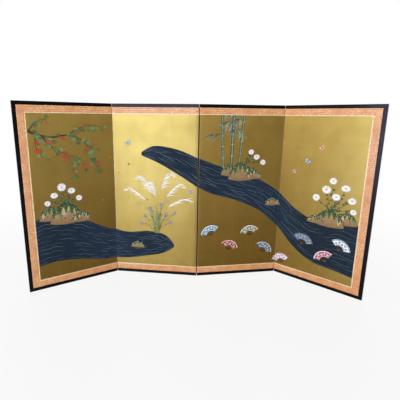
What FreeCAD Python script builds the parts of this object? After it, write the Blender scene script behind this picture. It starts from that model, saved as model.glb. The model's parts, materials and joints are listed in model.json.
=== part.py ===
import FreeCAD, Part
import math
import os

# A four-panel folding screen, standing half open in a W as seen from above.
# Every panel is drawn in its own frame: u runs across it from the viewer's left,
# v runs back through it from the front of its frame, and z runs up.
# The panels are then turned about each other at their folds.

# Whole screen, millimetres
panel_height = 914.4
panel_pitch = 441.3
fold_gap = 1.6

# Heading of each panel in plan, degrees from +X, left to right
panel_headings = (30.5, -6.0, 8.0, -39.0)

# Lacquered frame
frame_face = 17.0
frame_depth = 18.0
frame_edge_radius = 1.5
rail_gap = 0.7

# Border round the picture
brocade_width = 30.0
brocade_thickness = 0.8
line_width = 5.0
line_thickness = 0.6

# Sheets on the two faces
sheet_seat = 1.8
picture_thickness = 0.4
back_cloth_thickness = 0.4
lining_thickness = 0.6
wrap_thickness = 0.4
wrap_corner = 0.25
wrap_stop = 0.9

# Wooden core
core_member_width = 20.0
lattice_bar_width = 12.0
lattice_housing = 5.0
upright_count = 2
crossbar_count = 6

# Headless nails between the core and the frame
nail_diameter = 1.8
nail_clearance = 0.05
nail_point = 2.0
nail_in_frame = 10.0
nail_in_core = 13.5
nail_end_margin = 45.0
nails_per_rail = 4
nails_per_end_stile = 6

# Cloth hinge strips, pasted in alternating bands up each fold
strip_count = 8
strip_thickness = 0.3
strip_gap = 1.0
leaf_width = 35.0
axis_clearance = 0.2

# Worked out from the sizes above
half_gap = fold_gap / 2
core_face = sheet_seat + lining_thickness
core_low = frame_face
core_high = panel_height - frame_face
last_edge = panel_pitch - half_gap
wrapped_last = last_edge - wrap_thickness
wrapped_first = half_gap + wrap_thickness
end_stile_inner = half_gap + frame_face


def solid_from(points, lift):
    """A prism with this closed outline, pushed along the vector lift."""
    outline = Part.makePolygon(points + points[:1])
    return Part.Face(outline).extrude(lift)


def plan_prism(points, low, high):
    """A prism whose outline is drawn in u and v, from one height to another."""
    corners = [FreeCAD.Vector(u, v, low) for u, v in points]
    return solid_from(corners, FreeCAD.Vector(0, 0, high - low))


def face_prism(points, front, back):
    """A prism whose outline is drawn in u and z, through this depth."""
    corners = [FreeCAD.Vector(u, front, z) for u, z in points]
    return solid_from(corners, FreeCAD.Vector(0, back - front, 0))


def block(u_range, v_range, z_range):
    """A box between two values of u, v and z."""
    size = [high - low for low, high in (u_range, v_range, z_range)]
    corner = FreeCAD.Vector(u_range[0], v_range[0], z_range[0])
    return Part.makeBox(size[0], size[1], size[2], corner)


def cut_all(shape, tools):
    """Cut each tool out of the shape, when there are any."""
    if not tools:
        return shape
    return shape.cut(Part.Compound(tools))


def evenly(low, high, count):
    """This many places between two ends, with equal spaces between them all."""
    step = (high - low) / (count + 1)
    return [low + step * (index + 1) for index in range(count)]


def spread(low, high, count):
    """This many places from one end to the other, the ends included."""
    step = (high - low) / max(count - 1, 1)
    return [low + step * index for index in range(count)]


# Each panel is one of two kinds. An end panel has the frame's end stile at its first
# edge. A middle panel has the mountain fold there. Both have a valley fold at the
# other edge. The screen's second and fourth panels are these, mirrored across.


def core_first(is_end):
    return end_stile_inner if is_end else wrapped_first


def sheet_first(is_end):
    return end_stile_inner if is_end else half_gap


def band_heights():
    """The lowest and highest point of each band of hinge strip."""
    pitch = (core_high - core_low) / strip_count
    return [
        (core_low + pitch * index + strip_gap / 2, core_low + pitch * (index + 1) - strip_gap / 2)
        for index in range(strip_count)
    ]


def near_leaf_outline():
    """Strip under the sheet on the axis side: x from the fold, y from the frame's face.

    It ends in a lip that reaches the axis, which lies just outside the frame's face.
    """
    leaf_end = -half_gap - leaf_width
    under = sheet_seat + strip_thickness
    return [
        (leaf_end, sheet_seat),
        (-half_gap, sheet_seat),
        (0, -axis_clearance),
        (-half_gap, under),
        (leaf_end, under),
    ]


def far_leaf_outline():
    """Strip from the axis, along the panel's edge, to under the sheet on the far side."""
    leaf_end = -half_gap - leaf_width
    edge_outer = -half_gap - wrap_thickness
    edge_inner = edge_outer - strip_thickness
    near = sheet_seat + strip_thickness
    far = frame_depth - sheet_seat
    return [
        (leaf_end, far),
        (edge_outer, far),
        (edge_outer, near),
        (-half_gap, near),
        (0, -axis_clearance),
        (-half_gap, sheet_seat),
        (edge_inner, sheet_seat),
        (edge_inner, far - strip_thickness),
        (leaf_end, far - strip_thickness),
    ]


def hinge_strips(valley, parity):
    """The strips' halves at one edge: a valley edge or the first, mountain one."""
    strips = []
    for index, (low, high) in enumerate(band_heights()):
        near = (index + parity) % 2 == 0
        outline = near_leaf_outline() if near else far_leaf_outline()
        if valley:
            points = [(panel_pitch + x, y) for x, y in outline]
        else:
            points = [(-x, frame_depth - y) for x, y in outline]
        strips.append(plan_prism(points, low, high))
    return strips


def nail(base, direction):
    """A round nail pointed at both ends, driven across the joint at base."""
    start = base - direction * nail_in_frame
    body = Part.makeCylinder(
        nail_diameter / 2, nail_in_frame + nail_in_core - 2 * nail_point,
        start + direction * nail_point, direction)
    tail = Part.makeCone(0, nail_diameter / 2, nail_point, start, direction)
    tip = Part.makeCone(
        nail_diameter / 2, 0, nail_point,
        base + direction * (nail_in_core - nail_point), direction)
    return body.fuse([tail, tip]).removeSplitter()


def nail_hole(base, direction):
    """The blind hole for one nail, in both pieces."""
    start = base - direction * (nail_in_frame + nail_clearance)
    depth = nail_in_frame + nail_in_core + 2 * nail_clearance
    return Part.makeCylinder(nail_diameter / 2 + nail_clearance, depth, start, direction)


def nail_places(is_end):
    """Where each nail crosses from the frame into the core, and which way it points."""
    mid_depth = frame_depth / 2
    first = core_first(is_end) + nail_end_margin
    last = wrapped_last - nail_end_margin
    up = FreeCAD.Vector(0, 0, 1)
    places = []
    for u in spread(first, last, nails_per_rail):
        places.append((FreeCAD.Vector(u, mid_depth, core_low), up))
        places.append((FreeCAD.Vector(u, mid_depth, core_high), -up))
    if is_end:
        across = FreeCAD.Vector(1, 0, 0)
        for z in spread(core_low + nail_end_margin, core_high - nail_end_margin, nails_per_end_stile):
            places.append((FreeCAD.Vector(end_stile_inner, mid_depth, z), across))
    return places


def lattice_bars(is_end):
    """The inner uprights and crossbars, halved over each other."""
    inner_u = (core_first(is_end) + core_member_width, wrapped_last - core_member_width)
    inner_z = (core_low + core_member_width, core_high - core_member_width)
    depth = (core_face, frame_depth - core_face)
    middle = frame_depth / 2
    half_bar = lattice_bar_width / 2
    upright_places = evenly(inner_u[0], inner_u[1], upright_count)
    crossbar_places = evenly(inner_z[0], inner_z[1], crossbar_count)
    long_z = (inner_z[0] - lattice_housing, inner_z[1] + lattice_housing)
    long_u = (inner_u[0] - lattice_housing, inner_u[1] + lattice_housing)
    uprights = []
    for u in upright_places:
        bar = block((u - half_bar, u + half_bar), depth, long_z)
        laps = [
            block((u - half_bar, u + half_bar), (depth[0], middle), (z - half_bar, z + half_bar))
            for z in crossbar_places
        ]
        uprights.append(cut_all(bar, laps))
    crossbars = []
    for z in crossbar_places:
        bar = block(long_u, depth, (z - half_bar, z + half_bar))
        laps = [
            block((u - half_bar, u + half_bar), (middle, depth[1]), (z - half_bar, z + half_bar))
            for u in upright_places
        ]
        crossbars.append(cut_all(bar, laps))
    return uprights, crossbars


def core_frame(is_end, tools):
    """Two stiles and two rails of softwood, halved at the corners."""
    outer_u = (core_first(is_end), wrapped_last)
    depth = (core_face, frame_depth - core_face)
    middle = frame_depth / 2
    member = core_member_width
    columns = [(outer_u[0], outer_u[0] + member), (outer_u[1] - member, outer_u[1])]
    rows = [(core_low, core_low + member), (core_high - member, core_high)]
    stile_laps = [block(outer_u, (depth[0], middle), row) for row in rows]
    rail_laps = [block(column, (middle, depth[1]), (core_low, core_high)) for column in columns]
    stiles = [cut_all(block(column, depth, (core_low, core_high)), stile_laps + tools) for column in columns]
    rails = [cut_all(block(outer_u, depth, row), rail_laps + tools) for row in rows]
    return stiles, rails


def lining(is_end, on_front, strips):
    """Layered paper over the core, with the hinge strips let in flush."""
    near = (sheet_seat, core_face)
    far = (frame_depth - core_face, frame_depth - sheet_seat)
    sheet = block((core_first(is_end), wrapped_last), near if on_front else far, (core_low, core_high))
    return cut_all(sheet, strips)


def lacquer_section():
    """The rounded corners of the frame's section, in depth and in face width."""
    width = frame_face
    depth = frame_depth
    radius = frame_edge_radius
    cut = radius * (1 - math.sqrt(0.5))
    return [
        ((0, radius), (cut, cut), (radius, 0)),
        ((depth - radius, 0), (depth - cut, cut), (depth, radius)),
        ((depth, width - radius), (depth - cut, width - cut), (depth - radius, width)),
        ((radius, width), (cut, width - cut), (0, width - radius)),
    ]


def lacquer_bar(as_point, lift):
    """A length of frame: as_point places the section, lift gives its run."""
    edges = []
    corners = lacquer_section()
    for index, (start, middle, end) in enumerate(corners):
        edges.append(Part.Arc(as_point(*start), as_point(*middle), as_point(*end)).toShape())
        following = corners[(index + 1) % len(corners)][0]
        edges.append(Part.makeLine(as_point(*end), as_point(*following)))
    return Part.Face(Part.Wire(edges)).extrude(lift)


def lacquer_rail(is_end, at_top, holes):
    """Top or bottom rail, mitred where it meets an end stile, and long at each fold.

    Nothing passes between two rails at a fold, so they come closer than the panels.
    """
    first = half_gap if is_end else rail_gap / 2
    last = panel_pitch - rail_gap / 2
    def as_point(depth, face):
        z = panel_height - face if at_top else face
        return FreeCAD.Vector(first, depth, z)
    bar = lacquer_bar(as_point, FreeCAD.Vector(last - first, 0, 0))
    tools = list(holes)
    if is_end:
        outer_z = panel_height if at_top else 0
        inner_z = core_high if at_top else core_low
        mitre = [(half_gap, outer_z), (end_stile_inner, inner_z), (half_gap, inner_z)]
        tools.append(face_prism(mitre, 0, frame_depth))
    return cut_all(bar, tools)


def lacquer_end_stile(holes):
    """The upright at the screen's outer end, mitred to both rails."""
    def as_point(depth, face):
        return FreeCAD.Vector(half_gap + face, depth, 0)
    bar = lacquer_bar(as_point, FreeCAD.Vector(0, 0, panel_height))
    low_mitre = [(half_gap, 0), (end_stile_inner, 0), (end_stile_inner, core_low)]
    high_mitre = [(half_gap, panel_height), (end_stile_inner, panel_height), (end_stile_inner, core_high)]
    tools = [face_prism(low_mitre, 0, frame_depth), face_prism(high_mitre, 0, frame_depth)]
    return cut_all(bar, tools + holes)


def wrapped_sheet(u_range, z_range, thickness, on_front):
    """A sheet on one face that turns over one fold edge.

    Front sheets turn over the first edge, at the mountain fold. The back sheet turns
    over the last edge, at the valley fold. y is the depth from the sheet's own side.
    """
    outer = sheet_seat - thickness
    stop = frame_depth - sheet_seat - wrap_stop
    edge = 0 if on_front else 1
    inward = 1 if on_front else -1
    turned = u_range[edge]
    plain = u_range[1 - edge]
    points = [
        (plain, outer),
        (turned + inward * wrap_corner, outer),
        (turned, outer + wrap_corner),
        (turned, stop),
        (turned + inward * wrap_thickness, stop),
        (turned + inward * wrap_thickness, sheet_seat),
        (plain, sheet_seat),
    ]
    if not on_front:
        points = [(u, frame_depth - y) for u, y in points]
    return plan_prism(points, z_range[0], z_range[1])


def border(is_end, inset, width, thickness):
    """Strips of one border, this far inside the frame: two, or three at an end panel."""
    low = core_low + inset
    high = core_high - inset
    front = sheet_seat - thickness
    if not is_end:
        u_range = (half_gap, last_edge)
        rows = [(high - width, high), (low, low + width)]
        return [wrapped_sheet(u_range, row, thickness, True) for row in rows]
    first = end_stile_inner + inset
    inner = first + width
    top = [(first, high), (last_edge, high), (last_edge, high - width), (inner, high - width)]
    bottom = [(first, low), (last_edge, low), (last_edge, low + width), (inner, low + width)]
    side = [(first, low), (inner, low + width), (inner, high - width), (first, high)]
    return [face_prism(outline, front, sheet_seat) for outline in (top, bottom, side)]


def picture(is_end):
    """The painted sheet inside the border."""
    margin = brocade_width + line_width
    z_range = (core_low + margin, core_high - margin)
    if is_end:
        u_range = (end_stile_inner + margin, last_edge)
        return block(u_range, (sheet_seat - picture_thickness, sheet_seat), z_range)
    return wrapped_sheet((half_gap, last_edge), z_range, picture_thickness, True)


def panel_pieces(number):
    """Every piece of one panel, in its own frame, by name."""
    is_end = number in (1, len(panel_headings))
    parity = (number - 1) % 2
    valley_strips = hinge_strips(True, parity)
    mountain_strips = [] if is_end else hinge_strips(False, parity)
    strips = valley_strips + mountain_strips
    places = nail_places(is_end)
    holes = [nail_hole(base, direction) for base, direction in places]
    uprights, crossbars = lattice_bars(is_end)
    stiles, rails = core_frame(is_end, uprights + crossbars + holes + strips)
    pieces = {
        "core_stiles": stiles,
        "core_rails": rails,
        "lattice_uprights": uprights,
        "lattice_crossbars": crossbars,
        "front_lining": [lining(is_end, True, strips)],
        "back_lining": [lining(is_end, False, strips)],
        "picture": [picture(is_end)],
        "gold_line": border(is_end, brocade_width, line_width, line_thickness),
        "brocade_border": border(is_end, 0, brocade_width, brocade_thickness),
        "back_cloth": [wrapped_sheet(
            (sheet_first(is_end), last_edge), (core_low, core_high), back_cloth_thickness, False)],
        "top_rail": [lacquer_rail(is_end, True, holes)],
        "bottom_rail": [lacquer_rail(is_end, False, holes)],
        "frame_nails": [nail(base, direction) for base, direction in places],
    }
    if is_end:
        pieces["end_stile"] = [lacquer_end_stile(holes)]
    pieces["valley_hinge_strips"] = valley_strips
    if not is_end:
        pieces["mountain_hinge_strips"] = mountain_strips
    return pieces


def turned(point, heading):
    """A plan point (u, v) turned by a heading in degrees."""
    angle = math.radians(heading)
    u, v = point
    return (u * math.cos(angle) - v * math.sin(angle), u * math.sin(angle) + v * math.cos(angle))


def axis_depth(fold):
    """Depth of a fold's axis in its panels: in front at a valley, behind at a mountain."""
    return frame_depth + axis_clearance if fold == 1 else -axis_clearance


def chain_corners():
    """Plan place of each panel's own origin, and of the three fold axes."""
    corners = [(0.0, 0.0)]
    axes = []
    for fold in range(len(panel_headings) - 1):
        reach = turned((panel_pitch, axis_depth(fold)), panel_headings[fold])
        axis = (corners[fold][0] + reach[0], corners[fold][1] + reach[1])
        back = turned((0, axis_depth(fold)), panel_headings[fold + 1])
        axes.append(axis)
        corners.append((axis[0] - back[0], axis[1] - back[1]))
    return corners, axes


def is_mirrored(number):
    return number % 2 == 0


def placed(shape, number, corner):
    """A piece in the screen's frame, from the panel's own."""
    if is_mirrored(number):
        shape = shape.mirror(FreeCAD.Vector(panel_pitch / 2, 0, 0), FreeCAD.Vector(1, 0, 0))
    up = FreeCAD.Vector(0, 0, 1)
    turn = FreeCAD.Rotation(up, panel_headings[number - 1])
    place = FreeCAD.Placement(FreeCAD.Vector(corner[0], corner[1], 0), turn)
    return shape.transformed(place.toMatrix())


def build():
    corners, axes = chain_corners()
    numbers = range(1, len(panel_headings) + 1)
    panels = {number: panel_pieces(number) for number in numbers}
    frames = [
        placed(piece, number, corners[number - 1])
        for number in numbers
        for name in ("top_rail", "end_stile")
        for piece in panels[number].get(name, [])
    ]
    reach = Part.Compound(frames).optimalBoundingBox(False, False)
    centre = ((reach.XMin + reach.XMax) / 2, (reach.YMin + reach.YMax) / 2)
    print("footprint", round(reach.XLength, 3), round(reach.YLength, 3))
    for fold, axis in enumerate(axes):
        print("axis", fold + 1, round(axis[0] - centre[0], 4), round(axis[1] - centre[1], 4))
    for number in numbers:
        corner = (corners[number - 1][0] - centre[0], corners[number - 1][1] - centre[1])
        for name, solids in panels[number].items():
            group = [placed(solid, number, corner) for solid in solids]
            shape = group[0] if len(group) == 1 else Part.Compound(group)
            shape.exportStep(os.path.join("parts", f"panel_{number}_{name}.step"))


build()
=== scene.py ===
import json
import math
import random
from functools import partialmethod

import bmesh
import bpy
from mathutils import Matrix, Vector


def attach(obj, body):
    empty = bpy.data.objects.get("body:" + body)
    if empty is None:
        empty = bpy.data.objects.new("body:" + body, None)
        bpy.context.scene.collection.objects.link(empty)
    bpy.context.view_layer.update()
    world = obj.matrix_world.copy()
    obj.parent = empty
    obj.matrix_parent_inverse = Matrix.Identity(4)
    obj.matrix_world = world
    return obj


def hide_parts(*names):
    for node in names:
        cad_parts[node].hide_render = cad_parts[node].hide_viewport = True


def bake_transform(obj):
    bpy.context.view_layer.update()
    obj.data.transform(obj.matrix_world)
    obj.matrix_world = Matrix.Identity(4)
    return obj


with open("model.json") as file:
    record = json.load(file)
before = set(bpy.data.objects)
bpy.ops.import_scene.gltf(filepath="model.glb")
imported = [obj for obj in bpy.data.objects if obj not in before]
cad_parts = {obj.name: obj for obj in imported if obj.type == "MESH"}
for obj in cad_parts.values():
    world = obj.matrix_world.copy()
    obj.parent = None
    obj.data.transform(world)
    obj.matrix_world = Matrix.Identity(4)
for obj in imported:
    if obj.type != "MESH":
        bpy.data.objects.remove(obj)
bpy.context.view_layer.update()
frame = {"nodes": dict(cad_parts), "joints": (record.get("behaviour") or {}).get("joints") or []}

# Sizes of the screen, in metres, as its solids have them
MM = 0.001
PITCH = 441.3 * MM
HEIGHT = 914.4 * MM
GAP = 1.6 * MM
FACE = 17.0 * MM
DEPTH = 18.0 * MM
AXIS_OUT = 0.2 * MM
BROCADE = 30.0 * MM
BROCADE_THICK = 0.8 * MM
LINE = 5.0 * MM
LINE_THICK = 0.6 * MM
SEAT = 1.8 * MM
PICTURE_THICK = 0.4 * MM
BACK_THICK = 0.4 * MM
WRAP_THICK = 0.4 * MM
WRAP_STOP = 0.9 * MM
STRIP_THICK = 0.3 * MM
STRIP_COUNT = 8
STRIP_GAP = 0.1 * MM
LEAF_WIDTH = 35.0 * MM

# Worked out from those
LOW = FACE
HIGH = HEIGHT - FACE
FIRST = GAP / 2
LAST = PITCH - GAP / 2
STILE_INNER = FIRST + FACE
MARGIN = BROCADE + LINE
PICTURE_LOW = LOW + MARGIN
PICTURE_HIGH = HIGH - MARGIN
PICTURE_FRONT = SEAT - PICTURE_THICK
WRAP_END = DEPTH - SEAT - WRAP_STOP
NUMBERS = (1, 2, 3, 4)


# Panels


def find_panels():
    """Each panel's own frame, from the fold axes and the angle of each fold at rest."""
    joints = {joint["name"]: joint for joint in frame["joints"]}
    axis = {name: Vector(joint["pos_m"]) for name, joint in joints.items()}
    bend = {name: -math.radians(joint["range_deg"][0]) for name, joint in joints.items()}
    between = axis["fold_23"] - axis["fold_12"]
    second = math.atan2(between.y, between.x) - math.atan2(DEPTH + 2 * AXIS_OUT, PITCH)
    third = second + bend["fold_23"]
    turns = {1: second + bend["fold_12"], 2: second, 3: third, 4: third - bend["fold_34"]}
    hung = {
        1: ("fold_12", PITCH, -AXIS_OUT),
        2: ("fold_12", 0, -AXIS_OUT),
        3: ("fold_23", 0, DEPTH + AXIS_OUT),
        4: ("fold_34", 0, -AXIS_OUT),
    }
    places = {}
    for number, (name, u, v) in hung.items():
        turn = Matrix.Rotation(turns[number], 4, "Z")
        places[number] = Matrix.Translation(axis[name] - turn @ Vector((u, v, 0))) @ turn
    return places, turns, axis


PLACES, TURNS, AXES = find_panels()


def is_end(number):
    return number in (NUMBERS[0], NUMBERS[-1])


def across(number, u):
    """A distance from a panel's outer or valley edge, to one from its left edge."""
    return PITCH - u if number % 2 == 0 else u


def on_panel(number, u, v, z):
    return (across(number, u), v, z)


def spaced(low, high, count):
    return [low + (high - low) * index / (count - 1) for index in range(count)]


def quarter_turn(steps):
    return [math.radians(90 * step / steps) for step in range(steps + 1)]


def vec(x, y):
    return Vector((x, y))


def sides(line):
    """A step of length 1 to the left of a line, at each of its points."""
    after = line[1:] + line[-1:]
    before = line[:1] + line[:-1]
    return [vec(b.y - a.y, a.x - b.x).normalized() for a, b in zip(after, before)]


# Node trees


class Signal:
    """A node's output: arithmetic on it, and its own calls, add nodes to the same tree."""

    def __init__(self, graph, socket):
        self.graph = graph
        self.socket = socket

    def math(self, operation, other=0.0, clamp=False):
        return self.graph.node("Math", (self, other), operation=operation, use_clamp=clamp)

    __add__ = partialmethod(math, "ADD")
    __sub__ = partialmethod(math, "SUBTRACT")
    __mul__ = partialmethod(math, "MULTIPLY")
    __truediv__ = partialmethod(math, "DIVIDE")

    def __rsub__(self, other):
        return self.graph.node("Math", (other, self), operation="SUBTRACT")

    def ramp(self, low, high, low_out=0.0, high_out=1.0):
        """Goes smoothly from low_out to high_out, as this goes from low to high."""
        return self.graph.node(
            "MapRange", (self, low, high, low_out, high_out), interpolation_type="SMOOTHSTEP")

    def step_up(self, place):
        """From 0 to 1 within a millimetre of a place."""
        return self.ramp(place - MM, place + MM)

    def step_down(self, place):
        return self.ramp(place - MM, place + MM, 1, 0)


class Graph:
    """The node tree of a material or a world, with short calls for the nodes used here."""

    def __init__(self, owner, shader="Principled BSDF"):
        owner.use_nodes = True
        self.owner = owner
        self.nodes = owner.node_tree.nodes
        self.links = owner.node_tree.links
        self.shader = self.nodes[shader]

    def put(self, socket, value):
        if isinstance(value, Signal):
            self.links.new(value.socket, socket)
        else:
            socket.default_value = value

    def node(self, kind, inputs=(), out=0, **settings):
        """One output of a new node, whose inputs are given in order, or by number or name."""
        made = self.nodes.new(f"ShaderNode{kind}")
        for name, value in settings.items():
            setattr(made, name, value)
        for key, value in inputs.items() if isinstance(inputs, dict) else enumerate(inputs):
            self.put(made.inputs[key], value)
        return Signal(self, made.outputs[out])

    def set(self, **values):
        """Sets the shader's inputs, such as base_color for Base Color."""
        for name, value in values.items():
            self.put(self.shader.inputs[name.replace("_", " ").title().replace("Ior", "IOR")], value)

    def mix(self, share, first, second, blend="MIX"):
        return self.node("Mix", {0: share, 6: first, 7: second}, 2, data_type="RGBA", blend_type=blend)

    def layered(self, ground, *layers):
        """A ground colour with others over it, each by its own share."""
        for share, colour in layers:
            ground = self.mix(share, ground, colour)
        return ground

    def split(self, vector=None):
        first = self.node("SeparateXYZ", (vector or self.place,))
        return [Signal(self, socket) for socket in first.socket.node.outputs]

    def join(self, x, y, z=0.0):
        return self.node("CombineXYZ", (x, y, z))

    def noise(self, scale, detail=3.0):
        """Soft noise over the place, whose scale is one number, or one for each direction."""
        vector = self.place
        if isinstance(scale, tuple):
            vector = self.node("Mapping", {"Vector": vector, "Scale": scale})
            scale = 1.0
        return self.node("TexNoise", {"Vector": vector, "Scale": scale, "Detail": detail})

    def bump(self, height, distance, strength):
        self.set(normal=self.node("Bump", {"Strength": strength, "Distance": distance, "Height": height}))

    def cover(self, share, shader, output):
        """Shows another shader in place of the tree's own, by share."""
        blend = self.node("MixShader", (share, Signal(self, self.shader.outputs[0]), shader))
        self.put(self.nodes[output].inputs["Surface"], blend)


def material_graph(name, number=None):
    """A material's tree, whose place is in the panel's own frame.

    A piece made here has that frame as its own. A solid doesn't, and gives its panel's number.
    """
    graph = Graph(bpy.data.materials.new(f"{name}_{number}" if number else name))
    graph.place = graph.node("TexCoord", out="Object")
    if number:
        inverse = PLACES[number].inverted()
        graph.place = graph.node("Mapping", {
            "Vector": graph.place, "Location": inverse.translation, "Rotation": (0, 0, -TURNS[number])})
    return graph


# Materials


def srgb(red, green, blue):
    """A colour as seen, 0 to 255, to the linear values that a shader takes."""
    def linear(value):
        share = value / 255
        return share / 12.92 if share <= 0.04045 else ((share + 0.055) / 1.055) ** 2.4
    return (linear(red), linear(green), linear(blue), 1.0)


# Painted shade: the darker, browner gold that the leaf fades to at its foot
GOLD_FOOT_SHADE = srgb(142, 112, 46)
GOLD_HIGH = srgb(190, 160, 80)
GOLD_DEEP = srgb(122, 92, 34)
GOLD_PALE = srgb(222, 200, 130)
# Painted highlight: the pale gold along each fold edge, as if the turned edge caught the light
GOLD_EDGE_HIGHLIGHT = srgb(226, 210, 164)
# Painted shade: the near-black brown of the leaf that turns into the mountain fold's groove
GOLD_GROOVE_SHADE = srgb(48, 33, 12)
THREAD = 0.9 * MM
TWILL = 1.1 * MM

# Heights between which a stream crosses each fold, in millimetres
STREAM_AT_FOLD = {1: (86, 252), 2: (496, 646), 3: (272, 458)}


def cell(value, size):
    """Whole number of cells along, and the place within the cell, from 0 to 1."""
    scaled = value / size
    return scaled.math("FLOOR"), scaled.math("FRACT")


def gold_leaf():
    """Squares of leaf laid with narrow overlaps, with a fine grain, painted shade darkening it towards the
    foot and into the fold groove, and painted highlights along the fold edges.
    """
    leaf_side = 105 * MM
    overlap = 1.6 * MM / leaf_side
    graph = material_graph("gold_leaf")
    u, v, z = graph.split()
    column, in_column = cell(u + 21 * MM, leaf_side)
    row, in_row = cell(z + 13 * MM, leaf_side)
    tint = graph.node("TexWhiteNoise", {"Vector": graph.join(column, row)}, "Value")
    seam_u, seam_z = (each.ramp(overlap * 0.6, overlap, 1, 0) for each in (in_column, in_row))
    seam = seam_u.math("MAXIMUM", seam_z)
    grain = graph.noise((60, 1, 24), 5.0)
    cloud = graph.noise(9.0, 4.0)
    # Painted highlight: paler gold within 4 mm of each side edge of the leaf, as if that edge caught the light
    first_edge_highlight = u.ramp(1.5 * MM, 4 * MM, 0.18, 0)
    last_edge_highlight = u.ramp(PITCH - 4 * MM, PITCH - 1.5 * MM, 0, 0.18)
    # Painted shade: the leaf turning over the edge into the fold groove darkens with depth, and is made less
    # metallic and rougher there
    groove_shade = v.ramp(SEAT - 0.3 * MM, SEAT + 0.9 * MM, 0, 0.95)
    # Painted shade: the leaf's gold darkens and browns from the top down to the foot
    tone = graph.layered(
        graph.mix(z.ramp(0.0, HEIGHT), GOLD_FOOT_SHADE, GOLD_HIGH),
        (tint * 0.1, GOLD_DEEP),
        (cloud.ramp(0.35, 0.75, 0, 0.25), GOLD_DEEP),
        (grain.ramp(0.4, 0.8, 0, 0.06), GOLD_PALE),
        (seam * 0.08, GOLD_PALE),
        (first_edge_highlight.math("MAXIMUM", last_edge_highlight), GOLD_EDGE_HIGHLIGHT),
        (groove_shade, GOLD_GROOVE_SHADE))
    rough = (grain + tint * 0.12).ramp(0.3, 0.9, 0.47, 0.53) + groove_shade * 0.35
    graph.set(base_color=tone, metallic=0.9 - groove_shade * 0.8, roughness=rough, specular_ior_level=0.3)
    graph.set(anisotropic=0.8, tangent=graph.join(0.0, 0.0, 1.0))
    graph.bump(seam * 0.4 + cloud * 0.5, 0.06 * MM, 0.3)
    return graph.owner


def flower_lattice(along, z, pitch):
    """A woven four-petalled flower in each cell, with every other row shifted by half."""
    row, in_row = cell(z, pitch)
    shift = row.math("MODULO", 2.0) * (pitch / 2)
    x = cell(along + shift, pitch)[1] - 0.5
    y = in_row - 0.5
    radius = (x.math("POWER", 2.0) + y.math("POWER", 2.0)).math("SQRT")
    lobes = (y.math("ARCTAN2", x) * 2.0).math("COSINE").math("ABSOLUTE")
    petal = (radius - (lobes * 0.24 + 0.16)).ramp(-0.05, 0.05, 1, 0)
    heart = radius.ramp(0.05, 0.09, 1, 0)
    return petal.math("SUBTRACT", heart, True)


def woven(name, ground, dark, figure, pitch, sheen, worn=None):
    """A figured cloth: two ground colours vary over it, and the figure is woven in a lattice."""
    graph = material_graph(name)
    u, v, z = graph.split()
    along = u - v
    flowers = flower_lattice(along, z, pitch)
    smoother = graph.noise(5.0, 1.0).ramp(0.42, 0.6, 1.0, 0.35)
    faded = graph.noise(60.0, 2.0).ramp(0.3, 0.65, 0.3, 0.95)
    tone = graph.layered(
        ground,
        (graph.noise(26.0, 4.0).ramp(0.35, 0.7), dark),
        (graph.noise(300.0, 2.0).ramp(0.35, 0.75, 0, 0.3), figure),
        (flowers * faded * smoother, figure))
    if worn:
        deep = graph.noise(150.0, 1.0).ramp(0.5, 0.68, 0, 0.4)
        pale = graph.noise((-170, -170, -170), 1.0).ramp(0.56, 0.68, 0, 0.62)
        tone = graph.layered(tone, (deep * smoother, dark), (pale * smoother, worn))
    graph.set(base_color=tone, roughness=0.5, specular_ior_level=0.5)
    graph.set(sheen_weight=sheen, sheen_roughness=0.4)
    weft, warp = ((each * (2 * math.pi / THREAD)).math("SINE") for each in (along, z))
    threads = weft * warp * 0.5 + 0.5
    graph.bump(flowers * 0.8 + threads * 0.5, 0.12 * MM, 0.5)
    return graph.owner


def gold_line_cloth():
    """A narrow band of pale gold twill."""
    graph = material_graph("gold_line")
    u, v, z = graph.split()
    twill = ((u - v + z) * (2 * math.pi / TWILL)).math("SINE")
    wear = graph.noise(90.0)
    tone = graph.mix(wear.ramp(0.35, 0.7), srgb(240, 208, 156), srgb(222, 184, 122))
    graph.set(base_color=tone, roughness=0.5, metallic=0.15, sheen_weight=0.15)
    graph.bump(twill, 0.05 * MM, 0.5)
    return graph.owner


def lacquer(number):
    """Black lacquer, rubbed to a low gloss, with faint ripples, dust and worn top edges."""
    graph = material_graph("black_lacquer", number)
    _, v, z = graph.split()
    dust = graph.noise(38.0, 5.0)
    scratch = graph.noise((14, 700, 700))
    near_front = v.ramp(0.5 * MM, 1.6 * MM, 1, 0)
    near_top = z.ramp(HEIGHT - 1.4 * MM, HEIGHT - 0.4 * MM)
    worn = near_front * near_top * graph.noise(210.0, 4.0).ramp(0.5, 0.66)
    tone = graph.layered(
        srgb(12, 10, 12), (dust.ramp(0.45, 0.8, 0, 0.5), srgb(24, 22, 25)), (worn, srgb(84, 54, 38)))
    rough = (dust + scratch * 0.4).ramp(0.4, 1.1, 0.16, 0.32)
    graph.set(base_color=tone, roughness=rough, specular_ior_level=0.1, specular_tint=(1.0, 0.9, 0.76, 1.0))
    graph.bump(graph.noise(120.0, 2.0), 0.05 * MM, 0.25)
    return graph.owner


def softwood(number):
    """Planed pale softwood: growth rings, drawn out along the length of the bars."""
    graph = material_graph("core_wood", number)
    rings = graph.noise((130, 160, 5), 5.0)
    pores = graph.noise((900, 900, 40), 2.0)
    graph.set(roughness=0.62, base_color=graph.layered(
        srgb(214, 178, 128), (rings.ramp(0.35, 0.65), srgb(178, 132, 84)),
        (pores.ramp(0.55, 0.8, 0, 0.35), srgb(140, 98, 60))))
    graph.bump(rings, 0.1 * MM, 0.4)
    return graph.owner


def lining_paper(number):
    """Layered mulberry paper with long fibres."""
    graph = material_graph("lining_paper", number)
    fibre = graph.noise((260, 260, 60), 6.0)
    tone = graph.mix(fibre.ramp(0.4, 0.7), srgb(226, 216, 192), srgb(204, 190, 160))
    graph.set(base_color=tone, roughness=0.85)
    graph.bump(fibre, 0.08 * MM, 0.4)
    return graph.owner


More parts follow.
